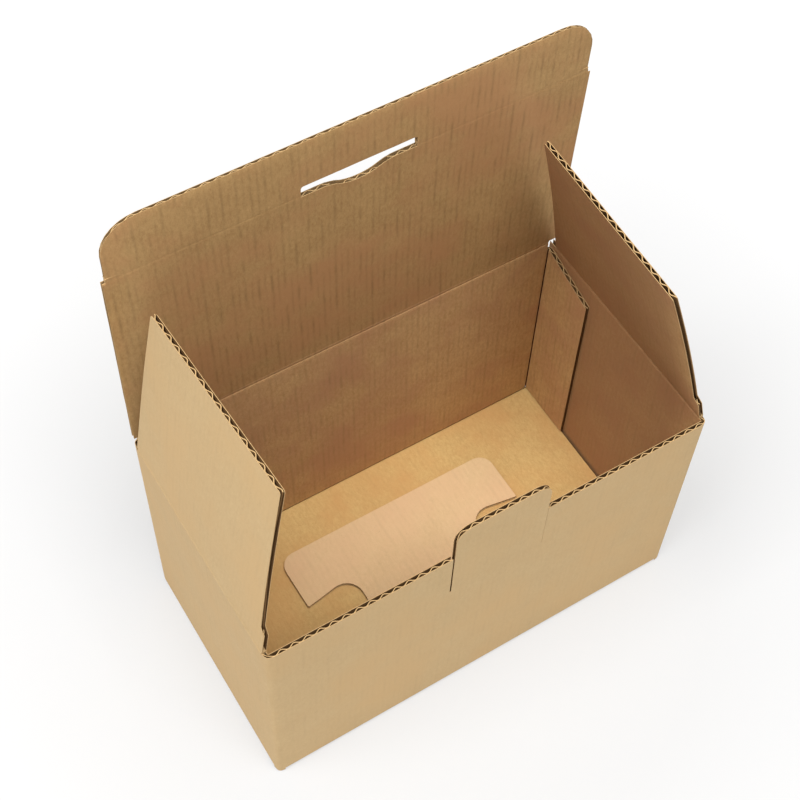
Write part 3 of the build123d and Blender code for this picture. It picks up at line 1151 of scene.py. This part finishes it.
dust_flap(
    "left_flap", -1, Blank(left_s(0), WALL), LEFT_LEAN, curl(bulge=0.9, twist=-2.8)
)
dust_flap("right_flap", 1, right_blank, RIGHT_LEAN, curl(bulge=1.6, twist=1.6))
finish_board(
    "lid_board", lid_board(), stand_up(lid_foot, (-1, 0, 0), lid_up, lid_bow),
    "lid", ["lid"], LID_PAPERS,
)
lay_tuck = stand_up(tuck_foot, (-1, 0, 0), lid_up)
finish_board(
    "tuck_board", tuck_board(), lambda p: lay_tuck(pressed_rim(p)),
    "tuck_flap", ["tuck_flap"], LID_PAPERS,
)


# ---------------------------------------------------------------- creases that move


def crease_strip(
    name, spans, reach, groove, origin, across, up, lean, blank, papers=WALL_PAPERS
):
    """The crushed board of a moving crease, which bends between the boards on either side.

    reach is how far it goes up and down from the crease, and lean is how far the upper board
    leans.
    """
    whole = bmesh.new()
    inner, outer = STRIP_THINNER - HALF, HALF - STRIP_THINNER
    for start, stop in spans:
        before = set(whole.verts)
        columns = max(2, int((stop - start) / PATCH))
        verts = bmesh.ops.create_grid(
            whole, x_segments=columns, y_segments=STRIP_ROWS, size=0.5
        )["verts"]
        size = (stop - start, 2 * (reach + STRIP_OVERLAP), 1)
        bmesh.ops.scale(whole, vec=size, verts=verts)
        bmesh.ops.translate(whole, vec=((start + stop) / 2, 0, inner), verts=verts)
        bottom = [f for f in whole.faces if not before.intersection(f.verts)]
        for face in bottom:
            face.material_index = INSIDE
        for face in thicken(whole, bottom, inner, outer):
            face.material_index = OUTSIDE
        for face in whole.faces:
            at_side = abs(face.calc_center_median().z) < HALF - 0.1
            if at_side and not before.intersection(face.verts):
                face.material_index = RIM
    bmesh.ops.recalc_face_normals(whole, faces=whole.faces[:])
    blank.mark(whole)
    origin, across, up, out = hinge_frame(origin, across, up)
    turn = math.radians(lean)

    def place(p):
        share = min(1.0, max(0.0, (p.y + reach) / (2 * reach)))
        weight = share * share * (3 - 2 * share)
        depth = groove[0] if p.z < 0 else groove[1]
        squeeze = 1 - depth / HALF * math.exp(-(p.y / GROOVE_HALF) ** 2)
        spun = Matrix.Rotation(-turn * weight, 3, "X") @ Vector((p.x, p.y, p.z * squeeze))
        return origin + across * spun.x + up * spun.y + out * spun.z

    piece = finish_board(name, whole, place, None, papers=papers)
    leaned = Matrix.Rotation(-turn, 3, "X") @ Vector((0, reach, 0))
    low = (origin - up * reach) * MM
    high = (origin + up * leaned.y + out * leaned.z) * MM
    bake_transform(piece)


crease_strip(
    "right_flap_fold", [(FLAP_FRONT, FLAP_REAR)], CREASE, FLAP_GROOVE,
    (SIDE_X, 0, WALL), (0, 1, 0), (0, 0, 1), RIGHT_LEAN, right_blank,
)
crease_strip(
    "left_flap_fold", [(-FLAP_REAR, -FLAP_FRONT)], CREASE, FLAP_GROOVE,
    (-SIDE_X, 0, WALL), (0, -1, 0), (0, 0, 1), LEFT_LEAN, Blank(left_s(0), WALL, -1),
)
crease_strip(
    "lid_fold", [(LID_STRIP_GAP - GLUE_X, SIDE_X - BACK_START)],
    LID_CREASE, LID_GROOVE, lid_foot, (-1, 0, 0), (0, 0, 1), LID_LEAN, lid_blank,
)
crease_strip(
    "tuck_fold", [(-TUCK_HALF, -SLOT_HALF), (SLOT_HALF, TUCK_HALF)],
    CREASE, TUCK_GROOVE, tuck_foot, (-1, 0, 0), lid_up, 0.0, tuck_blank, LID_PAPERS,
)


# ---------------------------------------------------------------- studio


def pale_floor():
    """A white floor that keeps the box's soft shadow and shows as white to the camera. That white
    is dimmer near the box, a painted shadow added to the real one.
    """
    bm = bmesh.new()
    bmesh.ops.create_grid(bm, x_segments=1, y_segments=1, size=FLOOR_SIZE)
    bmesh.ops.translate(bm, vec=(0, 0, -FLOOR_DROP), verts=bm.verts[:])
    mesh = bpy.data.meshes.new("floor")
    bm.to_mesh(mesh)
    bm.free()
    floor = bpy.data.objects.new("floor", mesh)
    bpy.context.scene.collection.objects.link(floor)
    r = new_paper("floor_paint")
    # Painted shadow: the white shown to the camera dims towards the box
    away = r.length(r.stretch(r.place(), (1.0, 1.0, 0.0)))
    lift = r.tint(
        r.step(away, FLOOR_NEAR, FLOOR_FAR), grey(FLOOR_LIFT_NEAR), grey(FLOOR_LIFT_FAR)
    )
    r.set(
        Base_Color=r.tint(r.shown_white(), grey(FLOOR_SHADE), grey(FLOOR_SHOWN)),
        Roughness=0.9, Specular_IOR_Level=0.0,
        Emission_Color=r.tint(r.shown_white(), grey(0.0), lift),
        Emission_Strength=1.0,
    )
    mesh.materials.append(r.owner)


def studio_world():
    """An even dome of light, which shows as white to the camera."""
    world = bpy.data.worlds.new("studio")
    bpy.context.scene.world = world
    r = Recipe(world)
    dome = r.nodes["Background"]
    dome.inputs["Color"].default_value = grey(1.0)
    dome.inputs["Strength"].default_value = DOME_LEVEL
    backdrop = r.add("ShaderNodeBackground", {}, Color=grey(1.0), Strength=1.0)
    mixed = r.add("ShaderNodeMixShader", {}, r.shown_white(), Flow(r, dome.outputs[0]), backdrop)
    r.feed(r.nodes["World Output"].inputs[0], mixed)


def soft_lamp(name, place, target, size, power):
    lamp = bpy.data.lights.new(name, "AREA")
    lamp.shape = "SQUARE"
    lamp.size = size
    lamp.energy = power
    holder = bpy.data.objects.new(name, lamp)
    holder.location = place
    holder.rotation_mode = "QUATERNION"
    aim = Vector(target) - Vector(place)
    holder.rotation_quaternion = aim.to_track_quat("-Z", "Y")
    bpy.context.scene.collection.objects.link(holder)


def set_camera():
    """Stands the camera where the photograph was taken from."""
    a, e, roll = (math.radians(v) for v in (AZIMUTH, ELEVATION, ROLL))
    back = Vector((math.sin(a) * math.cos(e), -math.cos(a) * math.cos(e), math.sin(e)))
    level = (-back).cross(Vector((0, 0, 1))).normalized()
    down = (-back).cross(level)
    right = level * math.cos(roll) + down * math.sin(roll)
    lower = down * math.cos(roll) - level * math.sin(roll)
    data = bpy.data.cameras.new("camera")
    data.sensor_width = SENSOR
    data.lens = FOCAL_PIXELS / PHOTO_PIXELS * SENSOR
    camera = bpy.data.objects.new("camera", data)
    axes = Matrix((right, -lower, back)).transposed()
    camera.matrix_world = Matrix.Translation(TARGET + back * DISTANCE) @ axes.to_4x4()
    bpy.context.scene.collection.objects.link(camera)
    bpy.context.scene.camera = camera


pale_floor()
studio_world()
soft_lamp("key_lamp", (-1.0, -0.05, 2.05), target=(0, 0, 0.08), size=1.1, power=34)
soft_lamp("top_lamp", (-0.05, -0.66, 2.25), target=(0, 0, 0.0), size=1.0, power=43)
set_camera()
bpy.context.scene.view_settings.view_transform = "Standard"
